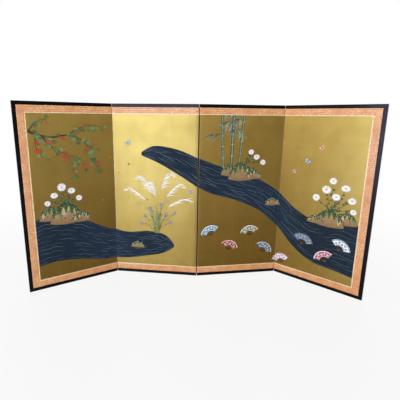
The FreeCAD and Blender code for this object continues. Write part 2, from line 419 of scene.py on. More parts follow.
def nail_steel(number):
    """Drawn wire with a brown bloom of rust."""
    graph = material_graph("nail_steel", number)
    rust = graph.noise(400.0, 4.0)
    tone = graph.mix(rust.ramp(0.45, 0.7), srgb(150, 150, 152), srgb(104, 72, 50))
    graph.set(base_color=tone, metallic=0.85, roughness=0.45)
    return graph.owner


def hinge_cloth(fold):
    """Pasted cloth at a fold, toned like the picture and the brocade that it lies beside, and near-black at
    the mountain fold as painted shade in its groove.
    """
    graph = material_graph(f"hinge_cloth_{fold}")
    z = graph.split()[2]
    wear = graph.noise(120.0, 4.0)
    low, high = (edge * MM for edge in STREAM_AT_FOLD[fold])
    # At the mountain fold the cloth is near-black brown: painted shade for its place in the groove
    ground, dark = ((52, 38, 15), (36, 26, 11)) if fold == 2 else ((116, 90, 42), (92, 68, 30))
    beside_brocade = z.step_up(PICTURE_HIGH).math("MAXIMUM", z.step_down(PICTURE_LOW))
    tone = graph.layered(
        graph.mix(wear, srgb(*ground), srgb(*dark)),
        (z.step_up(low) * z.step_down(high), NAVY),
        (beside_brocade, graph.mix(wear, srgb(176, 108, 62), srgb(138, 82, 48))))
    graph.set(base_color=tone, roughness=0.75, sheen_weight=0.1)
    graph.bump(wear, 0.08 * MM, 0.5)
    return graph.owner


def mineral_pigment():
    """Ground mineral colour in glue, brushed on: each shape brings its own colour."""
    graph = material_graph("mineral_pigment")
    colour = graph.node("Attribute", out="Color", attribute_name="paint")
    brush = graph.noise((45, 45, 160), 4.0)
    worn = graph.noise(320.0, 5.0).ramp(0.66, 0.76, 0, 0.35)
    shadow = brush.ramp(0.3, 0.7, 0.78, 1.12)
    tone = graph.mix(1.0, colour, graph.join(shadow, shadow, shadow), "MULTIPLY")
    tone = graph.mix(worn, tone, srgb(150, 122, 62))
    graph.set(base_color=tone, roughness=0.8, specular_ior_level=0.12)
    graph.bump(graph.noise(1100.0, 2.0) + brush * 0.6, 0.05 * MM, 0.4)
    return graph.owner


# Sheets and border strips

SHARP_ANGLE = math.radians(35)
SHEET_BEND = 0.7 * MM
SHEET_LEVELS = 46
SHEET_COLUMNS = 24
SHEET_TURN_STEPS = 5
FLAT_EDGE = 20 * MM
COCKLE_HEIGHT = 0.035 * MM
STRIP_BEND = 0.3 * MM
STRIP_TURN_STEPS = 6
STRIP_EDGE_STEPS = 4
CORNER_ROOM = 8 * MM
BROCADE_EDGE = 0.3 * MM
BROCADE_CROWN = 0.05 * MM
LINE_EDGE = 0.25 * MM
LINE_CROWN = 0.1 * MM

# How many places a border strip has along a middle panel, a turned edge, an end panel and its side
ALONG_MIDDLE = 30
ALONG_TURNED = 6
ALONG_END = 24
ALONG_SIDE = 40


def add_object(name, data):
    made = bpy.data.objects.new(name, data)
    bpy.context.scene.collection.objects.link(made)
    return made


def panel_piece(name, mesh, number, material, slot_name, *replaced):
    """An object in a panel's own frame, moving with that panel."""
    piece = add_object(name, mesh)
    piece.matrix_world = PLACES[number]
    mesh.materials.append(material)
    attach(piece, f"panel_{number}")
    if replaced:
        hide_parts(*replaced)


def end_faces(base, count, folded):
    """The end of a tube: one face, or quads across it where its loop goes out and back."""
    if folded:
        return [
            (base + i, base + i + 1, base + count - 2 - i, base + count - 1 - i)
            for i in range(count // 2 - 1)]
    return [tuple(range(base, base + count))]


def loft(name, tubes, folded=False):
    """A mesh of closed tubes, each a list of loops of equally many points, with sharp edges kept."""
    vertices = []
    faces = []
    for loops in tubes:
        start = len(vertices)
        count = len(loops[0])
        last = start + (len(loops) - 1) * count
        vertices += [tuple(point) for loop in loops for point in loop]
        for base in range(start, last, count):
            for index in range(count):
                after = (index + 1) % count
                faces.append((base + index, base + after, base + count + after, base + count + index))
        faces += end_faces(start, count, folded) + end_faces(last, count, folded)
    mesh = bpy.data.meshes.new(name)
    mesh.from_pydata(vertices, [], faces)
    shape = bmesh.new()
    shape.from_mesh(mesh)
    bmesh.ops.recalc_face_normals(shape, faces=shape.faces)
    shape.normal_update()
    for face in shape.faces:
        face.smooth = True
    for edge in shape.edges:
        if len(edge.link_faces) == 2:
            edge.smooth = edge.calc_face_angle() < SHARP_ANGLE
    shape.to_mesh(mesh)
    shape.free()
    return mesh


def cockle(u, z, seed):
    """Slight waves of paper stretched over the lattice, as a height in metres."""
    wave = math.sin(u * 41 + seed) * math.sin(z * 23 + seed * 2.3)
    ripple = math.sin(u * 17 - z * 31 + seed * 1.7)
    return COCKLE_HEIGHT * (0.6 * wave + 0.4 * ripple)


def sheet_loop(number, z, first, wraps, thickness, on_front):
    """One level of a face sheet that may turn over one fold edge, as a closed loop."""
    outer = SEAT - thickness
    turned, plain, inward = (first, LAST, 1) if on_front else (LAST, first, -1)
    start = turned + inward * SHEET_BEND if wraps else turned
    columns = spaced(start, plain, SHEET_COLUMNS)
    points = []
    if wraps:
        for angle in quarter_turn(SHEET_TURN_STEPS):
            u = turned + inward * SHEET_BEND * (1 - math.cos(angle))
            points.append((u, outer + SHEET_BEND * (1 - math.sin(angle))))
        columns = columns[1:]
    for u in columns:
        points.append((u, outer - cockle(u, z, number) * min(1.0, abs(u - start) / FLAT_EDGE)))
    points.append((plain, SEAT))
    if wraps:
        inner = turned + inward * WRAP_THICK
        points += [(inner, SEAT), (inner, WRAP_END), (turned, WRAP_END)]
    else:
        points.append((turned, SEAT))
    return [on_panel(number, u, v if on_front else DEPTH - v, z) for u, v in points]


def ribbon_section(width, thick, edge, crown):
    """Closed section of a pasted strip: distance from its outer edge, and height."""
    side = [(0, 0)]
    for angle in quarter_turn(STRIP_EDGE_STEPS):
        side.append((edge * (1 - math.cos(angle)), thick - edge + edge * math.sin(angle)))
    middle = [(width * share, thick + crown * math.sin(math.pi * share)) for share in (0.3, 0.5, 0.7)]
    return side + middle + [(width - s, h) for s, h in side[::-1]]


def level_run(u, edge, sign):
    """A place on a strip that lies flat and runs across the panel."""
    return lambda s, h: (u, SEAT - h, edge + sign * s)


def middle_stations(inset, edge, sign):
    """Places along a border strip of a middle panel, from the valley edge to the wrapped one."""
    outer = edge + sign * inset
    corner = (FIRST + STRIP_BEND + WRAP_THICK, SEAT + STRIP_BEND)

    def turning(angle):
        def place(s, h):
            radius = STRIP_BEND + h * (1 - (1 - WRAP_THICK / BROCADE_THICK) * angle / (math.pi / 2))
            u = corner[0] - radius * math.sin(angle)
            return (u, corner[1] - radius * math.cos(angle), outer + sign * s)
        return place

    def flange(v):
        return lambda s, h: (FIRST + WRAP_THICK - min(h, WRAP_THICK), v, outer + sign * s)

    flat_end = FIRST + WRAP_THICK + 2 * STRIP_BEND
    stations = [level_run(u, outer, sign) for u in spaced(LAST, flat_end, ALONG_MIDDLE)]
    stations += [turning(angle) for angle in quarter_turn(STRIP_TURN_STEPS)]
    return stations + [flange(v) for v in spaced(SEAT + 2 * STRIP_BEND, WRAP_END, ALONG_TURNED)]


def corner_stations(inset):
    """Places along an end panel's border, from the top of its fold edge round to the bottom."""
    left = STILE_INNER + inset
    top = HIGH - inset
    low = LOW + inset

    def side_run(z):
        return lambda s, h: (left + s, SEAT - h, z)

    def mitre(corner, sign):
        return lambda s, h: (left + s, SEAT - h, corner + sign * s)

    inner = left + MARGIN + CORNER_ROOM
    side = spaced(top - MARGIN - CORNER_ROOM, low + MARGIN + CORNER_ROOM, ALONG_SIDE)
    stations = [level_run(u, top, -1) for u in spaced(LAST, inner, ALONG_END)] + [mitre(top, -1)]
    stations += [side_run(z) for z in side] + [mitre(low, 1)]
    return stations + [level_run(u, low, 1) for u in spaced(inner, LAST, ALONG_END)]


def dress_panel(number, materials):
    """The sheets and border strips of one panel, in place of their plain solids."""
    end = is_end(number)
    edge = STILE_INNER if end else FIRST

    def add(part, node, slot_name, tubes):
        name = f"panel_{number}_{part}"
        mesh = loft(name, tubes)
        panel_piece(name, mesh, number, materials[slot_name], slot_name, f"panel_{number}_{node}")

    for part, node, slot_name, low, high, first, wraps, thickness, on_front in (
            ("gold_ground", "picture", "gold_leaf_picture", PICTURE_LOW, PICTURE_HIGH,
             edge + MARGIN if end else edge, not end, PICTURE_THICK, True),
            ("back_covering", "back_cloth", "back_covering", LOW, HIGH, edge, True, BACK_THICK, False)):
        levels = spaced(low, high, SHEET_LEVELS)
        loops = [sheet_loop(number, z, first, wraps, thickness, on_front) for z in levels]
        add(part, node, slot_name, [loops])
    for node, slot_name, inset, size in (
            ("brocade_border", "brocade", 0,
             (BROCADE, BROCADE_THICK - BROCADE_CROWN, BROCADE_EDGE, BROCADE_CROWN)),
            ("gold_line", "gold_line", BROCADE, (LINE, LINE_THICK - LINE_CROWN, LINE_EDGE, LINE_CROWN))):
        runs = [corner_stations(inset)] if end else [
            middle_stations(inset, LOW, 1), middle_stations(inset, HIGH, -1)]
        section = ribbon_section(*size)
        add(f"woven_{node}", node, slot_name, [
            [[on_panel(number, *station(s, h)) for s, h in section] for station in run] for run in runs])


def dress_solids(number):
    """Materials for the solids that stay as they are."""
    for maker, parts in (
            (lacquer, ("top_rail", "bottom_rail", "end_stile")),
            (softwood, ("core_stiles", "core_rails", "lattice_uprights", "lattice_crossbars")),
            (lining_paper, ("front_lining", "back_lining")),
            (nail_steel, ("frame_nails",))):
        material = maker(number)
        for part in parts:
            node = frame["nodes"].get(f"panel_{number}_{part}")
            if node:
                node.data.materials.clear()
                node.data.materials.append(material)


# Painting: flat raised shapes in millimetres, x along the opened screen and z up

WIDTH = PITCH / MM
TURNED_EDGE = 0.8 * MM
FIRST_LIFT = 0.06
LEVEL_LIFT = 0.045
TURN_LIFT = 0.004
LEVEL_TURNS = 9
ABOVE_WATER = 2
PAINT_SUNK = 0.03 * MM
DOT_SIDES = 10
SHORE_POINTS = 90
ROCK_STEPS = (-0.5, -0.43, -0.28, -0.1, 0.04, 0.2, 0.33, 0.45, 0.5)
ROCK_HEIGHTS = (0.0, 0.42, 0.72, 0.93, 1.0, 0.84, 0.66, 0.34, 0.0)
ROCK_CRACKS = 5
PETALS = 16
GRASS_BLADES = 22
PLUME_POINTS = 15
FAN_SPREAD = 62
FAN_STICKS = 9
FAN_FLOWERS = 5
FAN_ARC_STEPS = 24
PLEATS = 14
WING_STEPS = 8
PICTURE_SEED = 7

# Rays of an outline: the angle of each, and its length as a share of the size
MAPLE_NOTCH = (-20.5, 0.3)
MAPLE_LOBE = ((-8, 0.62), (0, 1.0), (8, 0.62))
MAPLE_RAYS = []
for side, length in ((-122, 0.4), (-82, 0.72), (-41, 0.92), (0, 1.0), (41, 0.92), (82, 0.72), (122, 0.4)):
    MAPLE_RAYS.append((side + MAPLE_NOTCH[0], MAPLE_NOTCH[1]))
    MAPLE_RAYS += [(side + turn, share * length) for turn, share in MAPLE_LOBE]
NOTCHED_RAYS = (
    (-60, 0.55), (-38, 0.4), (-26, 0.85), (-12, 0.62), (0, 1.0),
    (12, 0.62), (26, 0.85), (38, 0.4), (60, 0.55), (180, 0.12))
BELL_RAYS = [
    (petal * 72 + turn, share) for petal in range(5)
    for turn, share in ((-18, 0.72), (0, 1.0), (18, 0.72), (36, 0.5))]

# Pigments
WHITE = srgb(246, 241, 228)
CREAM = srgb(236, 224, 190)
INK = srgb(30, 24, 22)
NAVY = srgb(35, 47, 57)
NAVY_DEEP = srgb(29, 40, 46)
WAVE = srgb(110, 120, 120)
BARK = srgb(78, 52, 34)
EARTH = srgb(188, 154, 100)
EARTH_DARK = srgb(142, 110, 66)
MOSS = srgb(84, 106, 50)
MOSS_DARK = srgb(44, 62, 34)
MOSS_PALE = srgb(196, 206, 160)
LEAF_GREEN = srgb(66, 90, 50)
SAGE = srgb(110, 130, 80)
STRAW = srgb(150, 132, 62)
VERMILION = srgb(178, 58, 38)
ORANGE = srgb(206, 112, 50)
CRIMSON = srgb(132, 40, 40)
YELLOW = srgb(226, 184, 70)
SKY = srgb(124, 154, 160)
SLATE = srgb(84, 114, 124)
VIOLET = srgb(96, 88, 144)
OLIVE = srgb(146, 142, 76)
ROSE = srgb(190, 96, 96)


def curve(points, steps=8):
    """A smooth line through the points."""
    points = [Vector(point) for point in points]
    last = len(points) - 1
    line = []
    for index in range(last):
        a, b = points[max(index - 1, 0)], points[index]
        c, d = points[index + 1], points[min(index + 2, last)]
        for step in range(steps):
            t = step / steps
            line.append(0.5 * (
                2 * b + (c - a) * t + (2 * a - 5 * b + 4 * c - d) * t * t
                + (3 * b - a - 3 * c + d) * t ** 3))
    line.append(points[-1])
    return line


def resample(line, count):
    """The same line as equally spaced points."""
    lengths = [0.0]
    for first, second in zip(line, line[1:]):
        lengths.append(lengths[-1] + (second - first).length)
    made = []
    index = 0
    for step in range(count):
        target = lengths[-1] * step / (count - 1)
        while index < len(line) - 2 and lengths[index + 1] < target:
            index += 1
        span = max(lengths[index + 1] - lengths[index], 1e-9)
        made.append(line[index].lerp(line[index + 1], (target - lengths[index]) / span))
    return made


def blend_colour(first, second, share):
    return tuple(a + (b - a) * share for a, b in zip(first, second))


def shade(colour, amount):
    """Lighter for an amount above 0 and darker for one below it."""
    return blend_colour(colour, WHITE if amount > 0 else INK, abs(amount))


def at_angle(degrees, length):
    """A step of this length, at an angle from straight up, clockwise."""
    turn = math.radians(degrees)
    return vec(math.sin(turn), math.cos(turn)) * length


def steps_from(point, *steps):
    """Points that lie these steps, sideways and up, from one point."""
    return [point + vec(*step) for step in steps]


def rays(centre, angle, size, spokes):
    """Points round a centre, each at its own angle from the first and its own share of the size."""
    return [centre + at_angle(angle + turn, size * share) for turn, share in spokes]


def picture_window(number):
    """How far the picture reaches across a panel, in millimetres from its left edge."""
    first = STILE_INNER + MARGIN if is_end(number) else FIRST + TURNED_EDGE
    ends = (across(number, first) / MM, across(number, LAST) / MM)
    return min(ends), max(ends)


class Motif:
    """The shapes of one motif, cut at the folds and given thickness when it is laid."""

    def __init__(self, name, base, chance):
        self.name = name
        self.base = base
        self.chance = chance
        self.shapes = []
        self.turn = 0

    def add(self, points, faces, colours, level):
        """A shape at its level's height, or just above it, so that no two lie in one plane."""
        self.turn = (self.turn + 1) % LEVEL_TURNS
        lift = FIRST_LIFT + (self.base + level) * LEVEL_LIFT + self.turn * TURN_LIFT
        self.shapes.append((points, faces, colours, lift))

    def fill(self, outline, colour, level):
        """Any closed outline, in one colour or in a list of colours."""
        colours = colour if isinstance(colour, list) else [colour] * len(outline)
        self.add(outline, [tuple(range(len(outline)))], colours, level)

    def star(self, centre, outline, inner, outer, level):
        """A shape seen whole from its centre, shading from inner to outer colour."""
        count = len(outline)
        faces = [(0, 1 + index, 1 + (index + 1) % count) for index in range(count)]
        self.add([centre] + outline, faces, [inner] + [outer] * count, level)

    def grid(self, points, columns, colours, level):
        """Rows of equally many points, with quads between them."""
        faces = [
            (i, i + 1, i + columns + 1, i + columns)
            for i in range(len(points) - columns) if (i + 1) % columns]
        self.add(points, faces, colours, level)

    def stroke(self, line, widths, colour, level=0, tip=None):
        """A brush stroke, its width going through the widths given, and its colour to tip."""
        points = []
        colours = []
        count = len(line)
        for index, (point, side) in enumerate(zip(line, sides(line))):
            share = index / (count - 1)
            place = share * (len(widths) - 1)
            before = min(int(place), len(widths) - 2)
            width = widths[before] + (widths[before + 1] - widths[before]) * (place - before)
            points += [point - side * width / 2, point + side * width / 2]
            colours += [blend_colour(colour, tip or colour, share)] * 2
        faces = [(2 * i, 2 * i + 2, 2 * i + 3, 2 * i + 1) for i in range(count - 1)]
        self.add(points, faces, colours, level)

    def dot(self, centre, radius, inner, outer=None, level=0, squash=1.0):
        outline = [
            centre + vec(math.cos(angle) * radius, math.sin(angle) * radius * squash)
            for angle in (2 * math.pi * index / DOT_SIDES for index in range(DOT_SIDES))]
        self.star(centre, outline, inner, outer or inner, level)

    def near(self, point, sideways, upward):
        """A random place near a point, within two ranges."""
        return point + vec(self.chance.uniform(*sideways), self.chance.uniform(*upward))

    def lay(self, material):
        """Each panel's part of the motif, as a piece of its own."""
        for number in NUMBERS:
            self.lay_on(number, (number - 1) * WIDTH, *picture_window(number), material)

    def lay_on(self, number, start, low, high, material):
        made = bmesh.new()
        layer = made.verts.layers.float_color.new("paint")
        for points, faces, colours, lift in self.shapes:
            reach = [point.x - start for point in points]
            if max(reach) <= low or min(reach) >= high:
                continue
            corners = []
            for point, colour in zip(points, colours):
                corner = made.verts.new((
                    (point.x - start) * MM, PICTURE_FRONT - lift * MM, point.y * MM))
                corner[layer] = colour
                corners.append(corner)
            for face in faces:
                made.faces.new([corners[index] for index in face])
        bmesh.ops.triangulate(made, faces=[face for face in made.faces if len(face.verts) > 4])
        for place, outward in (
                ((low * MM, 0, 0), (-1, 0, 0)), ((high * MM, 0, 0), (1, 0, 0)),
                ((0, 0, PICTURE_LOW), (0, 0, -1)), ((0, 0, PICTURE_HIGH), (0, 0, 1))):
            everything = made.verts[:] + made.edges[:] + made.faces[:]
            bmesh.ops.bisect_plane(
                made, geom=everything, plane_co=place, plane_no=outward, clear_outer=True)
        if made.faces:
            back = bmesh.ops.extrude_face_region(made, geom=made.faces[:], use_keep_orig=True)
            for item in back["geom"]:
                if isinstance(item, bmesh.types.BMVert):
                    item.co.y = PICTURE_FRONT + PAINT_SUNK
            bmesh.ops.recalc_face_normals(made, faces=made.faces[:])
            mesh = bpy.data.meshes.new(f"panel_{number}_painted_{self.name}")
            made.to_mesh(mesh)
            panel_piece(mesh.name, mesh, number, material, "gold_leaf_picture")
        made.free()


def stream(motif, upper, lower, lines):
    """Water between two shores, with broken lines that run along it."""
    chance = motif.chance
    last_point = SHORE_POINTS - 1
    top, low = (resample(curve(shore), SHORE_POINTS) for shore in (upper, lower))
    depth = [
        blend_colour(NAVY, NAVY_DEEP, 0.5 + 0.5 * math.sin(index / 9)) for index in range(SHORE_POINTS)]
    motif.grid(low + top, SHORE_POINTS, depth + depth, 0)
    for row in range(lines):
        share = (row + 0.5 + chance.uniform(-0.25, 0.25)) / lines
        phase = chance.uniform(0, 6)
        at = chance.uniform(0, 0.05)
        while at < 0.97:
            length = chance.uniform(0.05, 0.2)
            last = min(int((at + length) * last_point), last_point - 1)
            line = [
                low[index].lerp(top[index], share) + vec(0, 2.6 * math.sin(index * 0.9 + phase))
                for index in range(int(at * last_point), last + 1)]
            if len(line) > 3:
                tone = blend_colour(NAVY, WAVE, chance.uniform(0.45, 1.0))
                motif.stroke(curve(line, 3), (0.3, 1.5, 1.1, 1.5, 0.3), tone, 1)
            at += length + chance.uniform(0.02, 0.09)


def boulder(motif, x, z, width, height):
    """A mossy rock with its foot at x and z: a body, darker sides, moss, dots and ink lines."""
    chance = motif.chance
    peak = chance.uniform(-0.15, 0.15)
    ridge = [
        vec(x + width * (step + peak * tall * 0.4), z + height * tall * chance.uniform(0.92, 1.06))
        for step, tall in zip(ROCK_STEPS, ROCK_HEIGHTS)]
    top = curve(ridge, 4)
    body = top + [vec(x + width * share, z - height * 0.1 * math.cos(share * 3)) for share in (0.3, 0.0, -0.3)]
    motif.fill(body, [
        blend_colour(EARTH_DARK, EARTH, min(max((point.y - z) / height, 0), 1)) for point in body], 0)
    for start, stop in ((2, 5), (5, 7), (1, 3)):
        middle = (ridge[start] + ridge[stop]) / 2
        inner = steps_from(middle, (width * 0.04, -height * 0.32), (-width * 0.03, -height * 0.5))
        facet = curve(ridge[start:stop + 1], 4) + inner
        motif.fill(facet, shade(EARTH, chance.choice((0.1, -0.2, -0.35))), 1)
    crown = curve(ridge[1:8], 5)
    droop = [
        point - vec(0, (point.y - z) * (0.36 + 0.2 * math.sin(index * 1.1) + chance.uniform(0, 0.06)))
        for index, point in enumerate(crown)]
    count = len(crown)
    motif.grid(droop + crown, count, [MOSS] * count + [MOSS_DARK] * count, 2)
    for point in crown[1:-1:2]:
        place = motif.near(point, (-2, 2), (-6, 1))
        motif.dot(place, chance.uniform(3.0, 5.5), shade(MOSS, 0.15), MOSS_DARK, 3, 0.7)
    for point in crown[2:-1:3]:
        for spot in range(2):
            place = motif.near(point, (-5, 5), (-height * 0.2, 1))
            motif.dot(place, chance.uniform(0.9, 1.7), MOSS_PALE, level=5)
    motif.stroke(top, (0.4, 1.5, 0.8, 1.7, 0.4), INK, 4)
    for mark in range(ROCK_CRACKS):
        begin = vec(x + width * chance.uniform(-0.3, 0.3), z + height * chance.uniform(0.2, 0.55))
        crack = steps_from(begin, (0, 0), (width * 0.03, -height * 0.1), (width * 0.02, -height * 0.24))
        motif.stroke(curve(crack, 4), (1.2, 0.9, 0.2), INK, 4)


def maple_leaf(motif, place, size, angle, colour, level):
    """A seven-lobed leaf on a short stalk."""
    outline = rays(place, angle, size, MAPLE_RAYS)
    motif.star(place, outline, blend_colour(colour, YELLOW, 0.12), colour, level)
    stalk = rays(place, angle, size, ((0, 0), (6, -0.45), (14, -0.8)))
    motif.stroke(stalk, (1.0, 0.6), shade(colour, -0.4), level)


def maple_limb(motif, points, widths, leafy):
    """A branch, with leaves at places all along it."""
    chance = motif.chance
    line = curve(points)
    motif.stroke(line, widths, BARK, 0, shade(BARK, -0.2))
    for point in resample(line, leafy)[1:]:
        for leaf in range(chance.choice((1, 2, 2))):
            place = motif.near(point, (-17, 17), (-20, 12))
            colour = chance.choice((MOSS, LEAF_GREEN, MOSS, SAGE, SAGE, VERMILION))
            size = chance.uniform(17, 25)
            maple_leaf(motif, place, size, chance.uniform(110, 250), colour, 2 + leaf)


def fallen_leaf(motif, x, z):
    colour = motif.chance.choice((VERMILION, ORANGE, MOSS))
    maple_leaf(motif, vec(x, z), 11, motif.chance.uniform(0, 360), colour, 3)


def daisy(motif, place, size, tilt):
    """A chrysanthemum seen from the front: two rings of petals round a yellow heart."""
    for ring, (reach, level) in enumerate(((1.0, 1), (0.66, 3))):
        for index in range(PETALS):
            angle = 360 * (index + ring * 0.5) / PETALS + motif.chance.uniform(-3, 3)
            steps = [at_angle(angle, size * reach * share) for share in (0.14, 0.45, 0.8, 1.0)]
            line = [place + vec(step.x, step.y * tilt) for step in steps]
            width = size * reach * 0.36
            tint = WHITE if index % 2 else CREAM
            widths = (width * 0.4, width, width, width * 0.35)
            motif.stroke(line, widths, shade(tint, -0.14), level + index % 2, tint)
    motif.dot(place, size * 0.26, YELLOW, shade(YELLOW, -0.12), 5, tilt)


def notched_leaf(motif, place, size, angle):
    """A lobed green leaf with a paler rib."""
    outline = rays(place, angle, size, NOTCHED_RAYS)
    motif.star(place + at_angle(angle, size * 0.3), outline, LEAF_GREEN, MOSS_DARK, 0)
    motif.stroke(rays(place, angle, size, ((0, 0), (0, 0.45), (0, 0.85))), (0.9, 0.3), MOSS_PALE, 1)


def flower_bunch(motif, x, z, flowers):
    """Chrysanthemums on stalks from one root, with leaves up the stalks."""
    chance = motif.chance
    root = vec(x, z)
    for sideways, upward, size in flowers:
        head = root + vec(sideways, upward)
        middle = root.lerp(head, 0.5) + vec(sideways * 0.12, 6)
        line = curve([root, middle, head], 6)
        motif.stroke(line, (2.2, 1.4), MOSS_DARK)
        for point in line[2:-3:2]:
            side = chance.choice((-1, 1))
            notched_leaf(motif, point, chance.uniform(13, 19), side * chance.uniform(50, 100))
    for sideways, upward, size in flowers:
        daisy(motif, root + vec(sideways, upward), size, chance.uniform(0.78, 1.0))


def pampas(motif, x, z, stems):
    """A clump of grass: long bent blades, and plumes that droop to one side."""
    chance = motif.chance
    for blade in range(GRASS_BLADES):
        lean = chance.uniform(-1, 1)
        tall = chance.uniform(90, 210)
        root = vec(x + chance.uniform(-14, 14), z + chance.uniform(-3, 3))
        aside = lean * tall
        points = steps_from(
            root, (0, 0), (aside * 0.14, tall * 0.5), (aside * 0.42, tall * 0.86), (aside * 0.8, tall * 0.8))
        tone = chance.choice((LEAF_GREEN, STRAW, MOSS, OLIVE))
        motif.stroke(curve(points, 7), (2.0, 3.0, 2.2, 0.3), tone, chance.randrange(3), shade(tone, 0.15))
    for reach, tall in stems:
        root = vec(x + chance.uniform(-8, 8), z)
        head = root + vec(reach, tall)
        side = 1 if reach > 0 else -1
        line = curve([root, root + vec(reach * 0.25, tall * 0.62), head, head + vec(side * 34, -8)], 10)
        motif.stroke(line, (2.0, 1.4, 1.0, 0.5), STRAW, 1)
        for index, point in enumerate(resample(line[-18:], PLUME_POINTS)):
            share = index / (PLUME_POINTS - 1)
            for hair in range(2):
                length = (52 - 26 * share) * chance.uniform(0.8, 1.1)
                fall = 62 + 34 * share + chance.uniform(-16, 16)
                end = point + at_angle(side * fall, length)
                bend = point.lerp(end, 0.5) + vec(0, length * 0.1)
                tone = blend_colour(CREAM, WHITE, chance.random())
                hair_line = curve([point, bend, end], 4)
                motif.stroke(hair_line, (1.2, 2.3, 1.7, 0.4), shade(tone, -0.1), 3 + hair, tone)


def bellflowers(motif, root, places):
    """Small five-pointed blue flowers on thin stalks."""
    for place in places:
        head = Vector(place)
        middle = Vector(root).lerp(head, 0.55) + vec(0, 10)
        line = curve([Vector(root), middle, head], 6)
        motif.stroke(line, (1.5, 1.0), LEAF_GREEN)
        for point in line[3:-2:3]:
            side = motif.chance.choice((-60, 60))
            motif.stroke(rays(point, side, 8, ((0, 0), (0, 1), (0, 2))), (1.0, 5.0, 0.4), LEAF_GREEN, 1)
        outline = rays(head, motif.chance.uniform(0, 72), 10.5, BELL_RAYS)
        motif.star(head, outline, SKY, VIOLET, 2)
        motif.dot(head, 1.6, WHITE, level=4)


def bamboo(motif, x, z, lean, joints, width):
    """A cane of joints, shaded round its side, with leaves hanging from thin twigs."""
    chance = motif.chance
    shares = (-1.0, -0.55, 0.1, 0.6, 1.0)
    tones = [MOSS_DARK, LEAF_GREEN, shade(MOSS, 0.3), LEAF_GREEN, MOSS_DARK]
    swells = ((0.02, 1.12), (0.08, 0.96), (0.9, 0.96), (0.98, 1.12))
    base = vec(x, z)
    for index in range(joints):
        length = 54 + 5 * math.sin(index * 1.7)
        top = base + vec(lean * length, length)
        side = vec(1, -lean).normalized() * width / 2
        points = [base.lerp(top, step) + side * share * swell for step, swell in swells for share in shares]
        motif.grid(points, len(shares), tones * len(swells), 1)
        motif.stroke([top - side * 1.1, top, top + side * 1.1], (1.4, 1.8, 1.4), MOSS_PALE, 2)
        if index > 1:
            way = chance.choice((-1, 1))
            twig = steps_from(top, (0, 0), (way * 22, 12), (way * 48, 8))
            motif.stroke(curve(twig, 5), (1.6, 0.8), LEAF_GREEN, 2)
            for start in twig[1:]:
                for leaf in range(chance.choice((3, 4, 5))):
                    angle = 180 - way * chance.uniform(-35, 75)
                    reach = chance.uniform(34, 54)
                    middle = start + at_angle(angle, reach * 0.5) + vec(0, 1.5)
                    line = curve([start, middle, start + at_angle(angle, reach)], 4)
                    tone = chance.choice((LEAF_GREEN, MOSS, MOSS_DARK, OLIVE))
                    motif.stroke(line, (0.8, 6.4, 5.2, 0.2), tone, 3 + leaf % 3, shade(tone, 0.2))
        base = top


def fan(motif, place, radius, angle, paper, trim):
    """An opened folding fan: pleated paper leaf, a band and dots on it, and its sticks."""
    pivot = Vector(place) - at_angle(angle, radius * 0.6)
    start = angle - FAN_SPREAD
    for index in range(FAN_STICKS):
        turn = start + 2 * FAN_SPREAD * index / (FAN_STICKS - 1)
        motif.stroke(rays(pivot, turn, radius, ((0, 0), (0, 0.25), (0, 0.5))), (2.2, 1.6, 2.0), BARK)
    for index in range(PLEATS):
        first, last = (2 * FAN_SPREAD * fold / PLEATS for fold in (index, index + 1))
        outline = rays(pivot, start, radius, ((first, 0.45), (last, 0.45), (last, 1), (first, 1)))
        tone = shade(paper, 0.14 if index % 2 else -0.12)
        motif.fill(outline, [shade(tone, -0.1)] * 2 + [tone] * 2, 2)
    for reach, thick in ((0.94, 3.2), (0.5, 1.6)):
        arc = rays(pivot, start, radius, [
            (2 * FAN_SPREAD * step / FAN_ARC_STEPS, reach) for step in range(FAN_ARC_STEPS + 1)])
        motif.stroke(arc, (thick, thick), trim, 4)
    for index in range(FAN_FLOWERS):
        turn = angle - FAN_SPREAD * 0.72 + FAN_SPREAD * 1.44 * index / (FAN_FLOWERS - 1)
        spot = pivot + at_angle(turn, radius * (0.74 if index % 2 else 0.66))
        for petal in range(5):
            motif.dot(spot + at_angle(petal * 72, 3.0), 1.9, trim, shade(trim, -0.12), 5)
    motif.dot(pivot, 2.6, YELLOW, BARK, 3)


def butterfly(motif, place, size, angle, colour, edge):
    """Four wings, feelers and a body."""
    middle = Vector(place)
    for side in (-1, 1):
        for turn, reach, wide in ((52, 1.0, 0.62), (128, 0.72, 0.56)):
            heading = angle + side * turn
            outline = []
            for step in range(WING_STEPS + 1):
                swing = math.radians(180 * step / WING_STEPS - 90)
                ahead = at_angle(heading, size * reach * (0.45 + 0.55 * math.cos(swing)))
                aside = at_angle(heading + 90, size * wide * 0.5 * math.sin(swing))
                outline.append(middle + ahead + aside)
            centre = middle + at_angle(heading, size * reach * 0.5)
            motif.star(centre, outline + [middle], colour, edge, 1)
            motif.dot(middle + at_angle(heading, size * reach * 0.72), size * 0.08, edge, level=3)
        feeler = rays(middle, angle, size, ((0, 0), (side * 14, 0.45), (side * 24, 0.75)))
        motif.stroke(curve(feeler, 4), (0.8, 0.5), INK, 2)
    motif.stroke(rays(middle, angle, size, ((0, -0.4), (0, 0), (0, 0.3))), (0.8, 2.6, 1.2), INK, 4)


